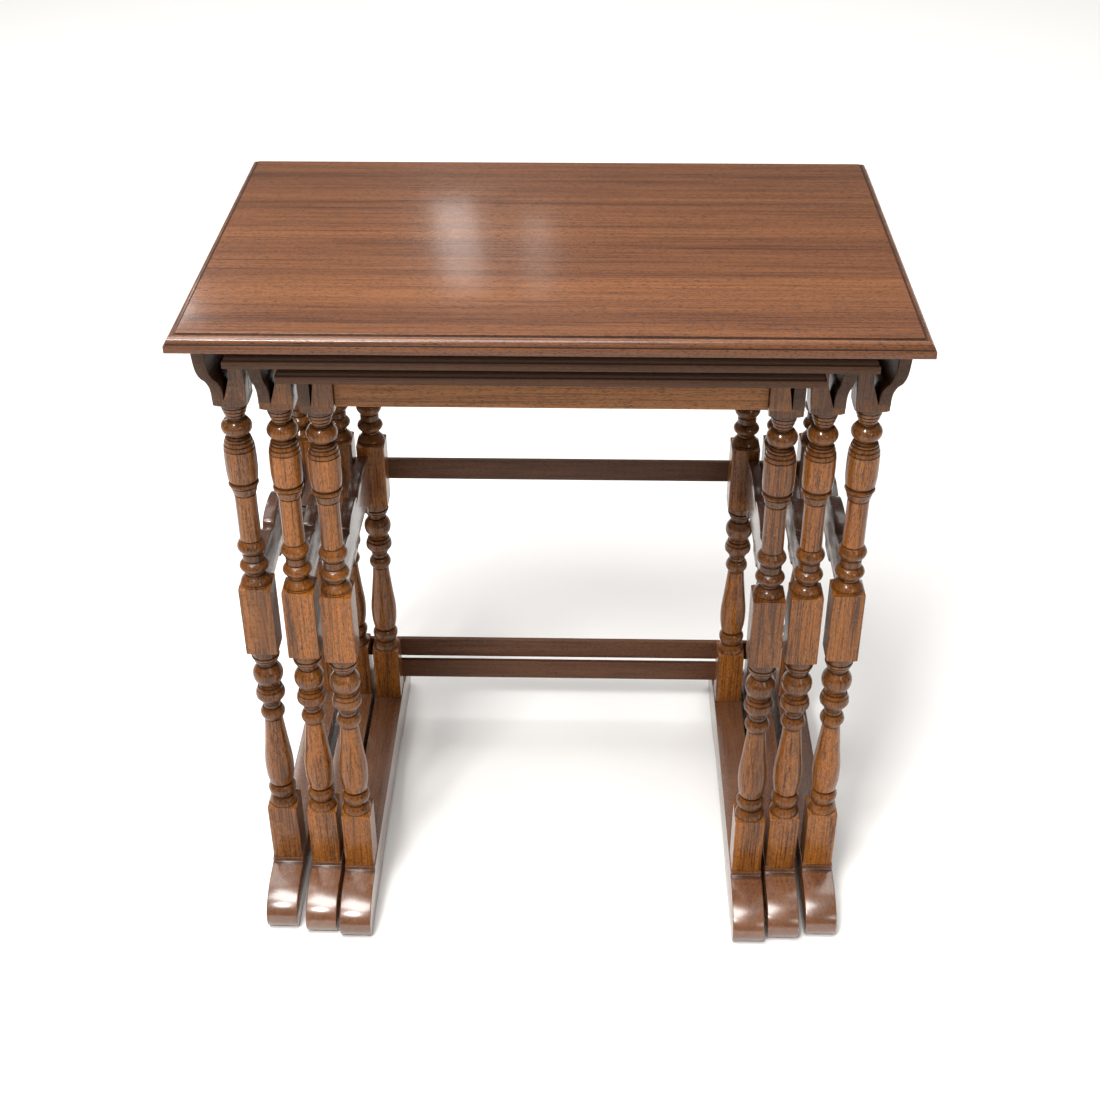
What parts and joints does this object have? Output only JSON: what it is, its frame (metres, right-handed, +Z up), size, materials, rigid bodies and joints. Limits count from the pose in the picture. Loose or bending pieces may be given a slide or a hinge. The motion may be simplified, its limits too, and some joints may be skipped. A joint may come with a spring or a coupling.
{
  "type": "nesting tables",
  "caption": "Nest of side tables on turned legs with runner feet; the smaller tables slide out to the front from under the larger one.",
  "frame": {"origin": "floor plane, centre of the footprint of the whole nest", "axes": "+X to the right along the long side of the tops, +Y to the back, +Z up; the front, where the smaller tables come out, faces -Y"},
  "size_m": [0.56, 0.392, 0.605],
  "materials": {
    "table_top": "dark stained and waxed, satin",
    "apron": "dark stained, satin",
    "turned_leg": "stained and turned, satin",
    "dark_rail": "dark stained, dull",
    "runner_foot": "stained and polished, glossy",
    "dowel": "raw beech"
  },
  "bodies": {
    "outer_table": {"outer_apron_left": "apron", "outer_apron_right": "apron", "outer_dowel_front_left": "dowel", "outer_dowel_front_right": "dowel", "outer_dowel_rear_left": "dowel", "outer_dowel_rear_right": "dowel", "outer_leg_front_left": "turned_leg", "outer_leg_front_right": "turned_leg", "outer_leg_rear_left": "turned_leg", "outer_leg_rear_right": "turned_leg", "outer_rear_rail": "dark_rail", "outer_runner_left": "runner_foot", "outer_runner_right": "runner_foot", "outer_stretcher_left": "dark_rail", "outer_stretcher_right": "dark_rail", "outer_top": "table_top"},
    "middle_table": {"middle_apron_left": "apron", "middle_apron_right": "apron", "middle_dowel_front_left": "dowel", "middle_dowel_front_right": "dowel", "middle_dowel_rear_left": "dowel", "middle_dowel_rear_right": "dowel", "middle_leg_front_left": "turned_leg", "middle_leg_front_right": "turned_leg", "middle_leg_rear_left": "turned_leg", "middle_leg_rear_right": "turned_leg", "middle_rear_rail": "dark_rail", "middle_runner_left": "runner_foot", "middle_runner_right": "runner_foot", "middle_stretcher_left": "dark_rail", "middle_stretcher_right": "dark_rail", "middle_top": "table_top"},
    "inner_table": {"inner_apron_left": "apron", "inner_apron_right": "apron", "inner_dowel_front_left": "dowel", "inner_dowel_front_right": "dowel", "inner_dowel_rear_left": "dowel", "inner_dowel_rear_right": "dowel", "inner_frieze_front": "apron", "inner_frieze_rear": "apron", "inner_leg_front_left": "turned_leg", "inner_leg_front_right": "turned_leg", "inner_leg_rear_left": "turned_leg", "inner_leg_rear_right": "turned_leg", "inner_rear_rail": "dark_rail", "inner_runner_left": "runner_foot", "inner_runner_right": "runner_foot", "inner_stretcher_left": "dark_rail", "inner_stretcher_right": "dark_rail", "inner_top": "table_top"}
  },
  "joints": [
    {"name": "middle_table_slide", "type": "slide", "parent": "outer_table", "child": "middle_table", "axis": [0, -1, 0], "range_m": [0, 0.42]},
    {"name": "inner_table_slide", "type": "slide", "parent": "middle_table", "child": "inner_table", "axis": [0, -1, 0], "range_m": [0, 0.42]}
  ]
}
